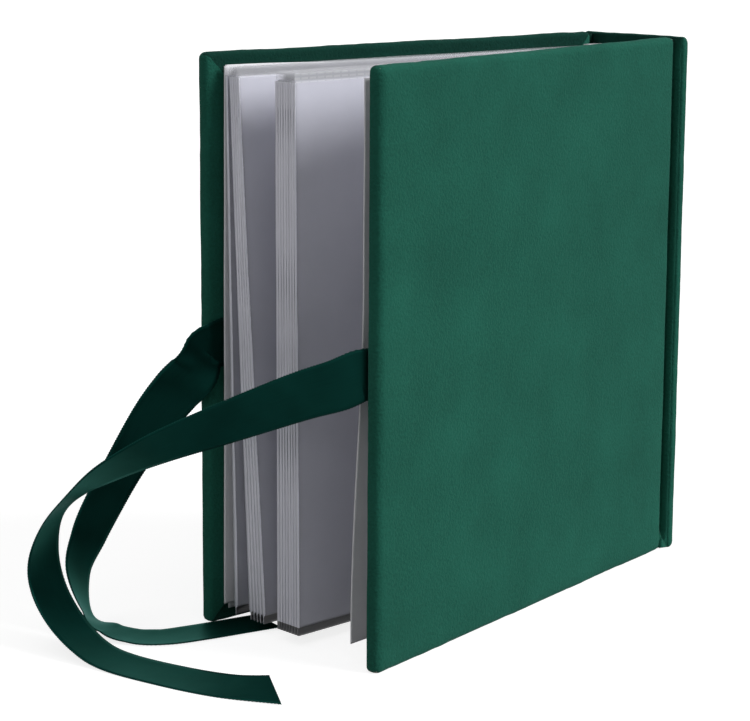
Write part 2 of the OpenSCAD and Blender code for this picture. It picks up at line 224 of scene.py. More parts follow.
def new_material(name, roughness, **inputs):
    """A Principled material with constant inputs set on its own sockets."""
    material = bpy.data.materials.new(name)
    material.use_nodes = True
    shader = material.node_tree.nodes["Principled BSDF"]
    shader.inputs["Roughness"].default_value = roughness
    for key, value in inputs.items():
        shader.inputs[key.replace("_", " ")].default_value = value
    return material, material.node_tree.nodes, material.node_tree.links, shader


def object_noise(nodes, links, scale, detail=2.0, rough=0.5, stretch=(1, 1, 1), source="Object"):
    """Noise in object metres, with so many features per metre."""
    place = nodes.new("ShaderNodeTexCoord")
    mapping = nodes.new("ShaderNodeMapping")
    mapping.inputs["Scale"].default_value = [scale * s for s in stretch]
    texture = nodes.new("ShaderNodeTexNoise")
    texture.inputs["Scale"].default_value = 1
    texture.inputs["Detail"].default_value = detail
    texture.inputs["Roughness"].default_value = rough
    links.new(place.outputs[source], mapping.inputs["Vector"])
    links.new(mapping.outputs["Vector"], texture.inputs["Vector"])
    return texture.outputs["Fac"]


def paint(nodes, links, shader, factor, *stops):
    """A base colour that runs through the stops, (place, colour), as the factor rises."""
    ramp = nodes.new("ShaderNodeValToRGB")
    while len(ramp.color_ramp.elements) < len(stops):
        ramp.color_ramp.elements.new(0.5)
    for element, (place, colour) in zip(ramp.color_ramp.elements, stops):
        element.position = place
        element.color = (*colour, 1)
    links.new(factor, ramp.inputs["Fac"])
    links.new(ramp.outputs["Color"], shader.inputs["Base Color"])


def shade(colour, share):
    """The colour made lighter or darker by a share."""
    return tuple(c * share for c in colour)


def half_and_half(nodes, links, first, second):
    """Two noises, mixed in equal parts."""
    mix = nodes.new("ShaderNodeMix")
    mix.inputs["Factor"].default_value = 0.5
    links.new(first, mix.inputs["A"])
    links.new(second, mix.inputs["B"])
    return mix.outputs["Result"]


def bump(nodes, links, shader, height, distance, strength=1.0, under=None):
    """Relief of so many metres, on top of the relief under it."""
    node = nodes.new("ShaderNodeBump")
    node.inputs["Strength"].default_value = strength
    node.inputs["Distance"].default_value = distance
    links.new(height, node.inputs["Height"])
    if under:
        links.new(under, node.inputs["Normal"])
    links.new(node.outputs["Normal"], shader.inputs["Normal"])
    return node.outputs["Normal"]


def satin_material():
    """Dark satin weave with a green metallic gloss that its long floats spread across it."""
    material, nodes, links, shader = new_material(
        "satin_ribbon", 0.44, Metallic=0.6, Anisotropic=0.5, Specular_IOR_Level=0.04)
    shader.inputs["Specular Tint"].default_value = (0.22, 0.8, 0.7, 1)
    threads = object_noise(nodes, links, 1, 3, 0.6, (60, 4200, 1), "UV")
    both = half_and_half(nodes, links, threads, object_noise(nodes, links, 60, 2))
    paint(nodes, links, shader, both, (0.3, shade(SATIN_GREEN, 0.75)),
          (0.7, shade(SATIN_GREEN, 1.3)))
    fine = bump(nodes, links, shader, threads, 0.00003, 0.5)
    bump(nodes, links, shader, object_noise(nodes, links, 45, 2), 0.0005, 0.5, fine)
    tangent = nodes.new("ShaderNodeTangent")
    tangent.direction_type = "UV_MAP"
    tangent.uv_map = "weave"
    links.new(tangent.outputs["Tangent"], shader.inputs["Tangent"])
    return material


satin = satin_material()
for side, point, route, leaves_at, slant, gather in (
        ("front", front_point, FRONT_ROUTE, FRONT_LEAVES, FRONT_SLANT, 0),
        ("back", back_point, BACK_ROUTE, BACK_LEAVES, 0, BACK_GATHER)):
    glued = INNER_FACE - GLUE - RIBBON_THICKNESS / 2
    start = point(GLUED_FROM, glued, RIBBON_HEIGHT)
    edge = point(leaves_at, glued - RIBBON_RISE, RIBBON_HEIGHT)
    tie, path, length = ribbon_piece(
        side + "_ribbon_tie", stations(start, edge, route), slant, gather,
        Vector(route[1][:3]) / 1000, satin)
    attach(tie, side + "_cover")
    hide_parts(side + "_ribbon")

# ---- Spine panel ----
# A thin card wrapped in the covers' velvet, which is turned in at its head and tail, with a
# paper lining pasted over its inside. The velvet is short-pile cotton, dark bottle green.
SPINE_INNER_X = 0.1131
SPINE_FRONT_Y, SPINE_BACK_Y = -0.0075, 0.0505
COVER_HEIGHT = 0.230
VELVET_GREEN = (0.0135, 0.098, 0.068)
# The same velvet green made darker: painted shade on the head and tail turn-ins and inner edges.
SHADED_TURN_IN_GREEN = (0.0055, 0.040, 0.029)
SPINE_CORNER, SPINE_SHADED_RINGS = 0.0018, 10
# How far the pile stands out at an edge, and the waves of edges and faces as (height, length),
# in metres and in millimetres.
PILE_OUT, PILE_FADE = 0.0002, 0.006
EDGE_WAVES = ((0.0003, 34), (0.0002, 6))
FACE_WAVES = ((0.00028, 46), (0.0001, 13))
# Rings from the middle of the inside, round the edge, to the middle of the outside: inset along
# the panel, inset up it, and place through it. The edge is a thick roll of turned-in velvet.
SPINE_PROFILE = [
    (0.0052, 0.0142, -0.0004), (0.0051, 0.0141, -0.0001), (0.0048, 0.0138, 0),
    (0.0045, 0.010, -0.0001), (0.0042, 0.005, -0.0003), (0.0036, 0.0026, -0.0006),
    (0.0028, 0.0016, -0.0010), (0.0018, 0.0010, -0.0012), (0.0009, 0.0006, -0.0011),
    (0.0003, 0.0003, -0.0007), (0, 0.0001, -0.0002), (0, 0, 0.0004), (0, 0.0001, 0.0010),
    (0, 0.0004, 0.0015), (0.0001, 0.0009, 0.0019), (0.0003, 0.0015, 0.0023),
    (0.0008, 0.0023, 0.0026), (0.0016, 0.0033, 0.0028), (0.003, 0.0046, 0.0029),
    (0.006, 0.007, 0.00295), (0.010, 0.010, 0.003), (0.016, 0.016, 0.003), (0.022, 0.022, 0.003),
    (0.0275, 0.0275, 0.003)]


def velvet_material(name, green):
    """Pile that lies in soft clouds, with a sheen where it is seen along its tips."""
    material, nodes, links, shader = new_material(name, 0.95, Specular_IOR_Level=0.06)
    shader.inputs["Sheen Weight"].default_value = 0.1
    shader.inputs["Sheen Roughness"].default_value = 0.42
    shader.inputs["Sheen Tint"].default_value = (0.45, 0.85, 0.75, 1)
    cloud = object_noise(nodes, links, 30, 3, 0.5)
    pile = object_noise(nodes, links, 950, 2, 0.6)
    paint(nodes, links, shader, half_and_half(nodes, links, cloud, pile),
          (0.34, shade(green, 0.82)), (0.66, shade(green, 1.17)))
    nap = bump(nodes, links, shader, pile, 0.0005, 0.8)
    bump(nodes, links, shader, object_noise(nodes, links, 60, 3, 0.6), 0.0012, 0.35, nap)
    return material


def lining_material():
    """Smooth uncoated paper, just off white, with faint fibres and soft mottling."""
    material, nodes, links, shader = new_material("lining_paper", 0.78, Specular_IOR_Level=0.3)
    mottle = object_noise(nodes, links, 70, 4, 0.6)
    paint(nodes, links, shader, mottle, (0.3, (0.77, 0.77, 0.8)), (0.7, (0.82, 0.82, 0.85)))
    bump(nodes, links, shader, object_noise(nodes, links, 900, 3, 0.6), 0.00006, 0.35)
    return material


def board_material():
    """Grey millboard, flecked with darker fibres."""
    material, nodes, links, shader = new_material("grey_board", 0.85, Specular_IOR_Level=0.2)
    fleck = object_noise(nodes, links, 700, 3, 0.7)
    paint(nodes, links, shader, fleck, (0.35, (0.3, 0.28, 0.25)), (0.6, (0.48, 0.46, 0.42)))
    bump(nodes, links, shader, fleck, 0.0001, 0.4)
    return material


def finish_nodes(material, *names):
    """Gives the solids with these names their one finish."""
    for name in names:
        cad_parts[name].data.materials.clear()
        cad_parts[name].data.materials.append(material)


def soft_rectangle(x0, x1, z0, z1, radius, arc=6, side=72):
    """Points round a rectangle with rounded corners, with the side that each belongs to."""
    centres = ((x1 - radius, z1 - radius), (x0 + radius, z1 - radius),
               (x0 + radius, z0 + radius), (x1 - radius, z0 + radius))
    loop = []
    for k, (cx, cz) in enumerate(centres):
        for n in range(arc):
            turn = math.radians(90 * k + 90 * n / (arc - 1))
            loop.append((cx + radius * math.cos(turn), cz + radius * math.sin(turn),
                         k if n < arc / 2 else k + 1))
        turn = math.radians(90 * k + 90)
        end = (centres[(k + 1) % 4][0] + radius * math.cos(turn),
               centres[(k + 1) % 4][1] + radius * math.sin(turn))
        start = loop[-1]
        for n in range(1, side):
            loop.append((start[0] + (end[0] - start[0]) * n / side,
                         start[1] + (end[1] - start[1]) * n / side, k + 1))
    return loop


def waves(spot, rows):
    """Height of several layers of waves at a place in mm."""
    return sum(height * noise.noise(spot / length) for height, length in rows)


def outward(value, size):
    """1 in the far half of a size and -1 in the near half."""
    return 1 if value > size / 2 else -1


def wrapped_panel(name, width, height, profile, corner, place, seed, shaded_rings, *materials):
    """A closed skin of rings, from the middle of its inside round its edge to the middle of
    its outside. profile gives (inset along, inset up, through, lap) of each ring, and place
    puts a point (along, up, through) in the album. Flaps 1 and 3, at the head and the tail,
    lie under flaps 0, 2 and 4. Their faces out to the given number of rings from the inside
    take the second material, a darker copy of the first: painted shade."""
    points, rings, kinds = [], [], []
    for inset, rise, through, lap in profile:
        radius = max(corner - min(inset, rise), 0.0004)
        ring = []
        for a, b, flap in soft_rectangle(inset, width - inset, rise, height - rise, radius):
            spot = Vector((a * 1000, b * 1000, seed))
            edge = (PILE_OUT + waves(spot, EDGE_WAVES)) * max(0, 1 - inset / PILE_FADE)
            lift = waves(spot, FACE_WAVES) if through > 0 and inset > 0.0012 else 0
            if lap:
                lift += -lap if flap % 2 == 0 else lap
            ring.append(len(points))
            points.append(place(a + edge * outward(a, width),
                                b + edge * outward(b, height) if rise < 0.002 else b,
                                through + lift))
        rings.append(ring)
    flaps = [flap for _, _, flap in soft_rectangle(0, width, 0, height, corner)]
    faces = []
    for depth, (ring, after) in enumerate(zip(rings, rings[1:])):
        for k in range(len(ring)):
            n = (k + 1) % len(ring)
            faces.append((ring[k], ring[n], after[n], after[k]))
            # Faces of the head and tail flaps near the inside take the darker velvet: painted
            # shade.
            kinds.append(1 if depth < shaded_rings and flaps[k] % 2 == 1 else 0)
    for ring, turn in ((rings[0], -1), (rings[-1], 1)):
        middle = sum((points[k] for k in ring), Vector()) / len(ring)
        points.append(middle)
        for k in range(len(ring)):
            corners = (ring[k], ring[(k + 1) % len(ring)], len(points) - 1)
            faces.append(corners[::turn])
    panel = new_piece(name, points, faces, *materials)
    for face, kind in zip(panel.data.polygons, kinds):
        face.material_index = kind
    return panel


velvet = velvet_material("velvet", VELVET_GREEN)
# The second velvet is the first in a darker green, painted shade for the head and tail turn-ins.
shaded_turn_in_velvet = velvet_material("velvet_turn_in_painted_shade", SHADED_TURN_IN_GREEN)
lining, grey_board = lining_material(), board_material()
spine_panel = wrapped_panel(
    "spine_panel", SPINE_BACK_Y - SPINE_FRONT_Y, COVER_HEIGHT,
    [(*ring, 0) for ring in SPINE_PROFILE], SPINE_CORNER,
    lambda a, b, t: Vector((SPINE_INNER_X + t, SPINE_FRONT_Y + a, b)), 71, SPINE_SHADED_RINGS,
    velvet, shaded_turn_in_velvet)
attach(spine_panel, "spine")
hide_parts("spine_velvet")
finish_nodes(lining, "spine_lining")
finish_nodes(grey_board, "spine_card")

# ---- Guard strips ----
# A stack of fourteen leaf tails with card strips between them, which binds the leaves to the
# spine. Its head edge shows as fine layers behind the leaves.


def guard_material():
    """White card seen on edge and on its face, in layers a fraction of a millimetre thick."""
    material, nodes, links, shader = new_material("guard_card", 0.8, Specular_IOR_Level=0.25)
    layers = object_noise(nodes, links, 1, 2, 0.5, (60, 2600, 60))
    paint(nodes, links, shader, layers, (0.35, (0.55, 0.55, 0.57)), (0.65, (0.78, 0.78, 0.8)))
    bump(nodes, links, shader, layers, 0.0001, 0.5)
    return material


finish_nodes(guard_material(), "guard_strips")

# ---- Padded covers ----
# Two stiff boards with thin wadding on their outsides, wrapped in velvet. It is turned in
# 14 mm all round the inside, mitred at the corners, with the side flaps over the end flaps.
COVER_START, COVER_END = 0.005, 0.2264
# The head and tail flaps take the darker velvet, painted shade, out to the ring count given here.
COVER_CORNER, COVER_SHADED_RINGS = 0.0026, 12
TURN_IN, LAP = 0.014, 0.0003
INNER_EDGE, OUTER_EDGE, OUTER_RISE = 0.0018, 0.0031, 0.0027
OUTER_FACE = 0.00255
FLAT_INSETS = (0.021, 0.028, 0.036, 0.045, 0.055, 0.066, 0.078, 0.090, 0.102)
# Rings of the wadding, which stays inside the velvet: inset and place through the cover.
WADDING_PROFILE = [(0.006, 0.0004), (0.0030, 0.0004), (0.0026, 0.0007), (0.0030, 0.0011),
                   (0.0038, 0.0015), (0.0050, 0.0018), (0.007, 0.0020), (0.012, 0.0021),
                   (0.03, 0.0021), (0.066, 0.0021), (0.102, 0.0021)]
WADDING_CORNER = 0.006


def cover_profile():
    """Rings as (inset, inset, through, lap): the turn-in, the tight inner edge round the board,
    and the rounder outer edge over the wadding."""
    rings = [(TURN_IN + 0.0003, -0.0037, 0), (TURN_IN, -0.0040, 0)]
    rings += [(inset, INNER_FACE, 1) for inset in (TURN_IN - 0.0003, 0.011, 0.008, 0.005)]
    rings.append((0.003, INNER_FACE, 0.6))
    for turn in (90, 68, 45, 22, 0):
        s, c = math.sin(math.radians(turn)), math.cos(math.radians(turn))
        rings.append((INNER_EDGE * (1 - c), INNER_FACE + INNER_EDGE * (1 - s),
                      0.3 if turn == 90 else 0))
    rings.append((-0.0001, -0.0013, 0))
    for turn in range(0, 91, 15):
        s, c = math.sin(math.radians(turn)), math.cos(math.radians(turn))
        rings.append((OUTER_EDGE * (1 - c), -0.0004 + OUTER_RISE * s, 0))
    rings += [(0.0048, 0.0024, 0), (0.007, 0.00246, 0), (0.010, 0.0025, 0), (0.015, 0.00253, 0)]
    rings += [(inset, OUTER_FACE, 0) for inset in FLAT_INSETS]
    return [(inset, inset, through, LAP * lap) for inset, through, lap in rings]


def wadding_material():
    """White fluffy fibre."""
    material, nodes, links, shader = new_material("wadding", 0.95, Specular_IOR_Level=0.1)
    fluff = object_noise(nodes, links, 400, 4, 0.7)
    paint(nodes, links, shader, fluff, (0.3, (0.7, 0.69, 0.66)), (0.7, (0.86, 0.85, 0.82)))
    bump(nodes, links, shader, fluff, 0.0004, 0.6)
    return material


wadding = wadding_material()
for side, point, seed in (("front", front_point, 5), ("back", back_point, 23)):
    turned = side == "back"

    def place(a, b, t):
        return point(COVER_END - a if turned else COVER_START + a, t, b)

    cover = wrapped_panel(side + "_velvet_cover", COVER_END - COVER_START, COVER_HEIGHT,
                          cover_profile(), COVER_CORNER, place, seed, COVER_SHADED_RINGS,
                          velvet, shaded_turn_in_velvet)
    filling = wrapped_panel(side + "_wadding", COVER_END - COVER_START, COVER_HEIGHT,
                            [(inset, inset, through, 0) for inset, through in WADDING_PROFILE],
                            WADDING_CORNER, place, seed, 0, wadding)
    for piece, node in ((cover, "_velvet"), (filling, "_padding")):
        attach(piece, side + "_cover")
        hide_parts(side + node)

finish_nodes(grey_board, "front_board", "back_board")

# ---- Grooves ----
# Between the spine panel and each cover the velvet is worked down into a groove, where it
# bends when the cover opens. At the tail it is drawn out level with both.
# The groove's plan: (along, through) on the cover, then (x, out from the pivot) by the spine.
GROOVE_COVER = [(0.0054, 0.0006), (0.0048, 0.0002), (0.0040, -0.0003), (0.0030, -0.0007),
                (0.0018, -0.0009), (0.0008, -0.0007)]
GROOVE_SPINE = [(0.11135, 0.0004), (0.11160, 0.0013), (0.11185, 0.0023), (0.11225, 0.0034)]
GROOVE_CLOTH, GROOVE_SAG, GROOVE_CROWN = 0.0007, 0.0004, 0.0011
DRAWN_UP = 0.009
GROOVE_FOOT = [0.0005, 0.001, 0.0018, 0.003, 0.0045, 0.006, 0.0075, 0.009, 0.0105]
GROOVE_ROWS, GROOVE_HEAD_GAP = 34, 0.001


def step_up(value, edge, width):
    """0 well below edge and 1 well above it, smooth between."""
    t = min(1, max(0, (value - edge) / width + 0.5))
    return t * t * (3 - 2 * t)


for side, point, pivot_y, outside in (("front", front_point, FRONT_PIVOT_Y, -1),
                                      ("back", back_point, BACK_PIVOT_Y, 1)):
    plan = [point(a, t, 0) for a, t in GROOVE_COVER]
    plan += [Vector((x, pivot_y + outside * out, 0)) for x, out in GROOVE_SPINE]
    rise = COVER_HEIGHT - GROOVE_HEAD_GAP - GROOVE_FOOT[-1]
    heights = GROOVE_FOOT + [GROOVE_FOOT[-1] + rise * n / GROOVE_ROWS
                             for n in range(1, GROOVE_ROWS + 1)]
    last = len(plan) - 1
    points = []
    for skin in (1, -1):
        for z in heights:
            closed = 1 - step_up(z, DRAWN_UP / 2, DRAWN_UP)
            for k, p in enumerate(plan):
                ahead = (plan[min(k + 1, last)] - plan[max(k - 1, 0)]).normalized()
                square = Vector((ahead.y, -ahead.x, 0)) * -outside
                between = math.sin(math.pi * k / last)
                sag = GROOVE_SAG * noise.noise(Vector((k / 3, z * 40, 9))) * between
                chord = plan[0].lerp(plan[-1], k / last)
                sag += closed * ((chord - p).dot(square) + GROOVE_CROWN * between)
                shift = square * (skin * GROOVE_CLOTH / 2 + sag)
                points.append(Vector((p.x + shift.x, p.y + shift.y, z)))
    faces, edges = closed_faces(len(heights), len(plan))
    for n, (a, b) in enumerate(edges, len(faces) - len(edges)):
        if abs(a - b) == 1:
            # The faces of both ends are wound inwards, which leaves the cut cloth in shade.
            faces[n] = faces[n][::-1]
    if side == "front":
        faces = [f[:1] + f[:0:-1] for f in faces]
    groove = new_piece(side + "_groove", points, faces, velvet)
    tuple(plan[1])
    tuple(plan[-2])
    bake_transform(groove)

# ---- Pastedowns ----
# White paper pasted inside each cover over the velvet's turned-in edges and the glued end of
# its ribbon, whose outlines show through it as low ridges.
PASTEDOWN_NEAR, PASTEDOWN_END = 0.009, 0.2175
PASTEDOWN_FOOT, PASTEDOWN_HEAD = 0.0048, 0.2252
PAPER, COCKLE = 0.0004, 0.00012
ON_BOARD, ON_FLAP, ON_TAB = 0.0041, 0.0004, 0.0002
RIDGE, TAB_REACH = 0.0016, 0.025
BACK_HEAD_FALL = 0.0036


def paper_sheet(name, alongs, ups, spot, material):
    """A closed sheet over a grid. spot(along, up, skin) gives a point on either skin."""
    points = [spot(along, up, skin) for skin in (1, -1) for up in ups for along in alongs]
    return new_piece(name, points, closed_faces(len(ups), len(alongs))[0], material)


def grid_line(*marks):
    """Even steps between marks given as (value, number of steps to the next)."""
    line = []
    for (value, count), (after, _) in zip(marks, marks[1:]):
        line += [value + (after - value) * n / count for n in range(count)]
    return line + [marks[-1][0]]


def head_fall(along, most):
    """How far a paper that was cut out of square falls at its head, towards the spine."""
    return most * step_up(PASTEDOWN_END - along, 0.07, 0.14)


def pasted_point(point, most, seed):
    """The pastedown's shape, over the turn-ins, the ribbon's end and its own slight cockles."""
    def spot(along, up, skin):
        part = (up - PASTEDOWN_FOOT) / (PASTEDOWN_HEAD - PASTEDOWN_FOOT)
        head = PASTEDOWN_HEAD - head_fall(along, most)
        z = PASTEDOWN_FOOT + (head - PASTEDOWN_FOOT) * part
        inset = min(COVER_END - along, along - COVER_START, z, COVER_HEIGHT - z)
        over_flap = 1 - step_up(inset, TURN_IN, RIDGE)
        on_tab = (step_up(along, PASTEDOWN_END - TAB_REACH, 0.0012)
                  * (1 - step_up(abs(z - RIBBON_HEIGHT), RIBBON_WIDTH / 2, 0.0012)))
        cockle = COCKLE * noise.noise(Vector((along * 45, z * 45, seed)))
        face = -ON_BOARD - ON_FLAP * over_flap - ON_TAB * on_tab + cockle * (1 - over_flap)
        along += 0.0002 * noise.noise(Vector((z * 60, seed, 3))) * step_up(along, 0.21, 0.01)
        return point(along, face - PAPER / 2 - skin * PAPER / 2, z)
    return spot


for side, point, most, seed in (("front", front_point, 0, 31),
                                ("back", back_point, BACK_HEAD_FALL, 47)):
    alongs = grid_line((PASTEDOWN_NEAR, 6), (0.0205, 30), (0.190, 14), (0.2145, 3),
                       (PASTEDOWN_END, 1))
    ups = grid_line((PASTEDOWN_FOOT, 3), (0.010, 8), (0.018, 20), (0.103, 14), (0.128, 22),
                    (0.212, 8), (0.220, 3), (PASTEDOWN_HEAD, 1))
    paper = paper_sheet(side + "_pasted_paper", alongs, ups, pasted_point(point, most, seed),
                        lining)
    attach(paper, side + "_cover")
    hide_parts(side + "_pastedown")
    finish_nodes(satin, side + "_ribbon_tab")

# ---- Flyleaves ----
# A loose leaf of the same paper next to each pastedown, folded and glued at its spine side.
# The front one has taken a curl at its tail, away from the cover.
FLYLEAF_ROOT, FLYLEAF_LINE, FLYLEAF_REACH = 0.0154, -0.00495, 0.205
FLYLEAF_FOOT, FLYLEAF_FALL = 0.0072, 0.0038
FRONT_LEAN, CURL, CURL_POWER = 10.35, 1.7, 2.2
BACK_LEAN, BACK_TWIST = 0.15, 0.53
RIPPLE = 0.0003
LEAF_FOOT, LEAF_HEAD = 0.0043, 0.225


def flyleaf_spot(root, lean_at, most, seed):
    """The flyleaf's shape from the lean of its fore-edge at each height, in radians."""
    def spot(reach, up, skin):
        lean = lean_at(up)
        part = reach / FLYLEAF_REACH
        flat, curl = lean_at(LEAF_HEAD), lean - lean_at(LEAF_HEAD)
        out = reach * math.sin(flat) + FLYLEAF_REACH * curl * part ** CURL_POWER
        ripple = RIPPLE * noise.noise(Vector((reach * 18, up * 22, seed))) * part
        x = root.x - reach * math.cos(flat)
        y = root.y - out + ripple
        fall = head_fall(reach + FLYLEAF_ROOT, most) * (up - FLYLEAF_FOOT) / LEAF_HEAD
        return Vector((x + skin * PAPER / 2 * math.sin(flat), y - skin * PAPER / 2, up - fall))
    return spot


def front_lean(up):
    return math.radians(FRONT_LEAN - CURL * (1 - step_up(up, 0.08, 0.14)))


def back_lean(up):
    return math.radians(BACK_LEAN + BACK_TWIST * (up - LEAF_FOOT) / (LEAF_HEAD - LEAF_FOOT))


reaches = grid_line((0, 4), (0.012, 18), (0.150, 16), (0.2035, 2), (FLYLEAF_REACH, 1))
heights = grid_line((FLYLEAF_FOOT, 2), (0.009, 40), (0.223, 2), (LEAF_HEAD, 1))
for side, root, lean, most, seed in (
        ("front", front_point(FLYLEAF_ROOT, FLYLEAF_LINE, 0), front_lean, 0, 13),
        ("back", back_point(FLYLEAF_ROOT, FLYLEAF_LINE, 0), back_lean, FLYLEAF_FALL, 29)):
    sheet = paper_sheet(side + "_loose_paper", reaches, heights,
                        flyleaf_spot(root, lean, most, seed), lining)
    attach(sheet, side + "_flyleaf")
    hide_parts(side + "_flyleaf")

# ---- Pocket leaves ----
# Fourteen leaves of clear film, each two films closed all round a white card, and pinched a
# little at the fore-edge on both sides of each cross seam. The first hangs loose, five more
# are bent together towards it, and eight lie towards the front cover.
LEAF_X, LEAF_WIDTH = 0.1011, 0.209
CROSS_WELDS = (0.078, 0.0815, 0.1412, 0.1447, 0.2062, 0.2097)
WELDED, POCKET_HALF, PINCH = 0.00012, 0.0005, 0.00014
FRONT_MOUTHS, BACK_MOUTHS = (0.00056, 0.0006), (0.0005, 0.00086)
FOOT_WELD, HEAD_WELD, HEAD_EDGE = 0.0076, 0.2211, 0.2246
ROOT_WELD, FORE_FOLD = 0.0038, 0.208
SWAY, FRILL = 0.00022, 0.0003
# The clear film below the cards is painted near-black and nearly opaque: painted shade.
FILM, MARGIN, FORE_EDGE, SHADED_FOOT, DASHES = range(5)
# Each leaf's place across the album, in mm, at its root and at the head and tail of its fore-edge.
leaf_lines = [(36.5, 38, 33.5)]
leaf_lines += [(22.5 + 2.2 * n, 31.3 + 1.15 * n, 16.2 + 2 * n) for n in (4, 3, 2, 1, 0)]
leaf_lines += [(3 + 2.1 * n, -2.2 + 1.5 * n, -4.4 + 1.7 * n) for n in range(7, -1, -1)]


def film_material(name, alpha, tone, roughness=0.3):
    """Clear flexible film with a soft gloss and a slight haze."""
    material, nodes, links, shader = new_material(name, roughness, Alpha=alpha, IOR=1.46)
    haze = object_noise(nodes, links, 55, 3, 0.55)
    paint(nodes, links, shader, haze, (0.3, shade(tone, 0.95)), (0.7, tone))
    ripple = object_noise(nodes, links, 38, 3, 0.6)
    bump(nodes, links, shader, ripple, 0.0008, 0.4)
    return material


def film_edge_material():
    """The closed fore-edges, which look pale because the film carries light to them."""
    material, nodes, links, shader = new_material("film_edge", 0.45, IOR=1.46)
    layers = object_noise(nodes, links, 1, 2, 0.6, (200, 4200, 14))
    paint(nodes, links, shader, layers, (0.3, (0.66, 0.66, 0.74)), (0.6, (0.87, 0.87, 0.96)))
    bump(nodes, links, shader, layers, 0.0001, 0.4)
    return material


def weld_material():
    """The head weld of the front leaf, embossed with two rows of short dashes."""
    material, nodes, links, shader = new_material("film_weld", 0.36, Alpha=0.36, IOR=1.46)
    place = nodes.new("ShaderNodeTexCoord")
    dashes = nodes.new("ShaderNodeTexBrick")
    dashes.offset = 0
    dashes.inputs["Scale"].default_value = 1
    dashes.inputs["Brick Width"].default_value = 0.0042
    dashes.inputs["Row Height"].default_value = 0.0016
    dashes.inputs["Mortar Size"].default_value = 0.0005
    dashes.inputs["Mortar Smooth"].default_value = 0.4
    dashes.inputs["Color1"].default_value = (0.84, 0.85, 0.88, 1)
    dashes.inputs["Color2"].default_value = (0.8, 0.81, 0.85, 1)
    dashes.inputs["Mortar"].default_value = (0.68, 0.69, 0.74, 1)
    links.new(place.outputs["UV"], dashes.inputs["Vector"])
    links.new(dashes.outputs["Color"], shader.inputs["Base Color"])
    bump(nodes, links, shader, dashes.outputs["Fac"], 0.00015, 0.6)
    return material


def card_material():
    """Thin white card with a faint tooth."""
    material, nodes, links, shader = new_material("leaf_card", 0.7, Specular_IOR_Level=0.3)
    mottle = object_noise(nodes, links, 50, 4, 0.6)
    paint(nodes, links, shader, mottle, (0.3, (0.72, 0.72, 0.8)), (0.7, (0.76, 0.76, 0.84)))
    bump(nodes, links, shader, object_noise(nodes, links, 1100, 2), 0.00004, 0.3)
    return material


def pocket_half(reach, up, part, front_group):
    """Half the thickness of a pocket: thin at its welds and fuller at its fore-edge."""
    at_ends = LEAF_HEAD - up if front_group else min(up - LEAF_FOOT, LEAF_HEAD - up)
    full = step_up(min(at_ends, reach), 0.0034, 0.0016)
    mouth_head, mouth_tail = FRONT_MOUTHS if front_group else BACK_MOUTHS
    mouth = mouth_tail + (mouth_head - mouth_tail) * part
    half = POCKET_HALF + (mouth - POCKET_HALF) * step_up(reach, 0.196, 0.02)
    if any(abs(up - weld) < 0.0005 for weld in CROSS_WELDS):
        half -= PINCH * step_up(reach, 0.2, 0.008)
    return WELDED + (half - WELDED) * full


def face_kind(number, reach, up):
    """Which film a face of the pocket is made of, from its place on the leaf."""
    if up < FOOT_WELD:
        return SHADED_FOOT
    if up > HEAD_WELD:
        return DASHES if number == 14 and up < HEAD_EDGE else MARGIN
    if reach > FORE_FOLD:
        return FORE_EDGE
    return MARGIN if reach < ROOT_WELD else FILM


def pocket_piece(number, root_y, head_y, tail_y, films):
    """Both films of a leaf, closed all round. films are the clear film, its margins, its
    fore-edge, its foot, which is painted near-black as shade, and the dashed weld."""
    front_group = number > 6
    reaches = grid_line((0.0003, 1), (0.0012, 2), (ROOT_WELD, 1), (0.008, 3), (0.030, 8),
                        (0.170, 5), (0.205, 3), (0.2086, 1), (LEAF_WIDTH, 1))
    marks = [(LEAF_FOOT, 1), (0.0048, 3), (FOOT_WELD, 1), (0.0086, 4)]
    for low, high in zip(CROSS_WELDS[::2], CROSS_WELDS[1::2]):
        marks += [(low - 0.0004, 1), (low + 0.0004, 1), (high - 0.0004, 1), (high + 0.0004, 4)]
    marks += [(0.2205, 1), (HEAD_WELD, 4), (HEAD_EDGE, 1), (LEAF_HEAD, 1)]
    ups = grid_line(*marks)
    points, uvs = [], []
    for skin in (1, -1):
        for up in ups:
            part = (up - LEAF_FOOT) / (LEAF_HEAD - LEAF_FOOT)
            fore_y = (tail_y + (head_y - tail_y) * part) / 1000
            lean = math.asin((root_y / 1000 - fore_y) / LEAF_WIDTH)
            for reach in reaches:
                sway = SWAY * reach / LEAF_WIDTH * noise.noise(
                    Vector((reach * 30, up * 16, number * 0.15)))
                frill = (FRILL * math.exp(-(LEAF_HEAD - up) / 0.006)
                         * noise.noise(Vector((reach * 70, number * 0.2, 1))))
                through = skin * pocket_half(reach, up, part, front_group) + sway + frill
                jag = FRILL * noise.noise(Vector((reach * 40, number * 5, 2)))
                points.append(Vector((
                    LEAF_X - reach * math.cos(lean) + through * math.sin(lean),
                    root_y / 1000 - reach * math.sin(lean) - through * math.cos(lean),
                    up + (jag if up > HEAD_EDGE else 0))))
                uvs.append((reach, LEAF_HEAD - up if part > 0.5 else up - LEAF_FOOT))
    rows, columns = len(ups), len(reaches)
    faces, edges = closed_faces(rows, columns)
    kinds = []
    for low, high in zip(ups, ups[1:]):
        for reach in reaches[:-1]:
            kinds += [face_kind(number, reach, (low + high) / 2)] * 2
    for n, (a, b) in enumerate(edges):
        up = (ups[a // columns] + ups[b // columns]) / 2
        if up < (FOOT_WELD if front_group else 0.0045):
            kinds.append(SHADED_FOOT)
        else:
            kinds.append(FORE_EDGE if up < 0.2213 and n < columns + rows - 2 else MARGIN)
    leaf = new_piece(f"leaf_{number}_film", points, faces, *films)
    add_map(leaf, "UVMap", uvs)
    for face, kind in zip(leaf.data.polygons, kinds):
        face.material_index = kind
    return leaf
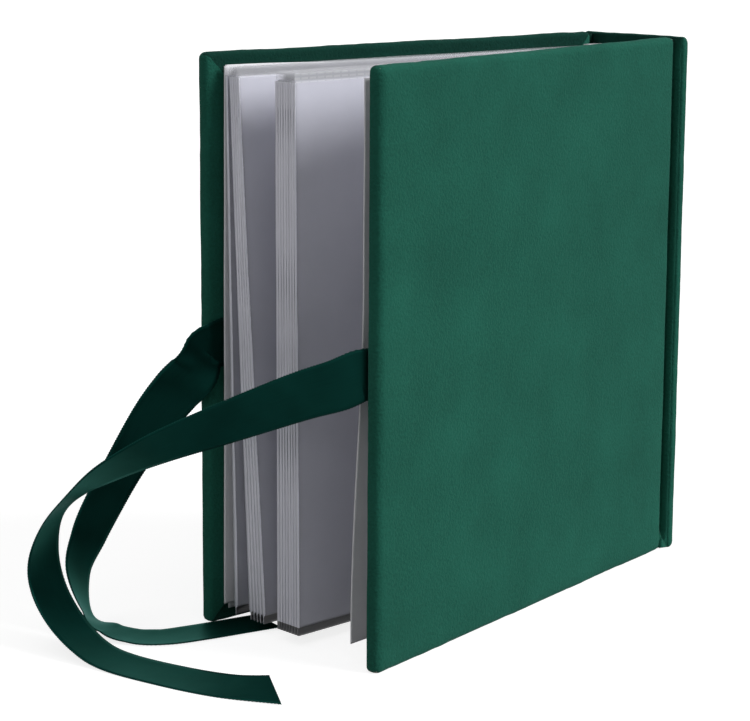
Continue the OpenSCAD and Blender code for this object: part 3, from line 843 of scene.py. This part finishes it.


# The foot film's near-black tone is painted shade below the cards.
films = (film_material("clear_film", 0.34, (0.76, 0.77, 0.85)),
         film_material("film_margin", 0.16, (0.8, 0.81, 0.86)), film_edge_material(),
         film_material("film_foot_painted_shade", 0.8, (0.075, 0.075, 0.083)), weld_material())
finish_nodes(film_material("tail_film", 0.6, (0.7, 0.71, 0.75)), "leaf_tails")
card = card_material()
for number, (root_y, head_y, tail_y) in enumerate(leaf_lines, 1):
    leaf = pocket_piece(number, root_y, head_y, tail_y, films)
    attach(leaf, f"leaf_{number}")
    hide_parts(f"leaf_{number}_pocket")
    finish_nodes(card, f"leaf_{number}_card")

# ---- Floor and light ----
# A wide white sheet under the album, a broad key light from the right, a soft light over the
# head and a weak fill from the left.
FLOOR_WHITE, FLOOR_GLOW = 0.4, 0.82
FLOOR_HALF = 14
WORLD_LIGHT = 0.07


def camera_share(nodes, links, low, high):
    """low for most rays and high for those of the camera, of mirrors and of clear film."""
    path = nodes.new("ShaderNodeLightPath")
    share = path.outputs["Is Camera Ray"]
    for other in ("Is Glossy Ray", "Is Transmission Ray"):
        larger = nodes.new("ShaderNodeMath")
        larger.operation = "MAXIMUM"
        links.new(share, larger.inputs[0])
        links.new(path.outputs[other], larger.inputs[1])
        share = larger.outputs[0]
    spread = nodes.new("ShaderNodeMapRange")
    spread.inputs["To Min"].default_value = low
    spread.inputs["To Max"].default_value = high
    links.new(share, spread.inputs["Value"])
    return spread.outputs["Result"]


def floor_material():
    """Plain white that shows brighter than it lights the album, and keeps its shadow."""
    material = bpy.data.materials.new("floor_white")
    material.use_nodes = True
    nodes, links = material.node_tree.nodes, material.node_tree.links
    nodes.clear()
    out = nodes.new("ShaderNodeOutputMaterial")
    diffuse = nodes.new("ShaderNodeBsdfDiffuse")
    diffuse.inputs["Color"].default_value = (*[FLOOR_WHITE] * 3, 1)
    glow = nodes.new("ShaderNodeEmission")
    links.new(camera_share(nodes, links, 0, FLOOR_GLOW), glow.inputs["Strength"])
    both = nodes.new("ShaderNodeAddShader")
    links.new(diffuse.outputs[0], both.inputs[0])
    links.new(glow.outputs[0], both.inputs[1])
    links.new(both.outputs[0], out.inputs["Surface"])
    return material


corners = [(x * FLOOR_HALF, y * FLOOR_HALF, 0) for x, y in ((-1, -1), (1, -1), (1, 1), (-1, 1))]
floor = new_piece("floor", corners, [(0, 1, 2, 3)], floor_material())


def soft_sun(name, towards, strength, spread):
    """A lamp that shines from the direction towards, and spreads over so many degrees."""
    lamp = bpy.data.lights.new(name, "SUN")
    lamp.energy = strength
    lamp.angle = math.radians(spread)
    holder = bpy.data.objects.new(name, lamp)
    holder.rotation_euler = Vector(towards).to_track_quat("Z", "Y").to_euler()
    bpy.context.scene.collection.objects.link(holder)


soft_sun("key_light", (0.45, -0.72, 0.5), 2.7, 32)
soft_sun("head_light", (-0.15, -0.1, 1), 0.8, 60)
soft_sun("fill_light", (-0.8, -0.3, 0.5), 0.45, 50)
world = bpy.data.worlds.new("studio")
bpy.context.scene.world = world
world.use_nodes = True
nodes, links = world.node_tree.nodes, world.node_tree.links
background = nodes["Background"]
background.inputs["Color"].default_value = (1, 1, 1, 1)
links.new(camera_share(nodes, links, WORLD_LIGHT, 1), background.inputs["Strength"])
bpy.context.scene.view_settings.view_transform = "Standard"
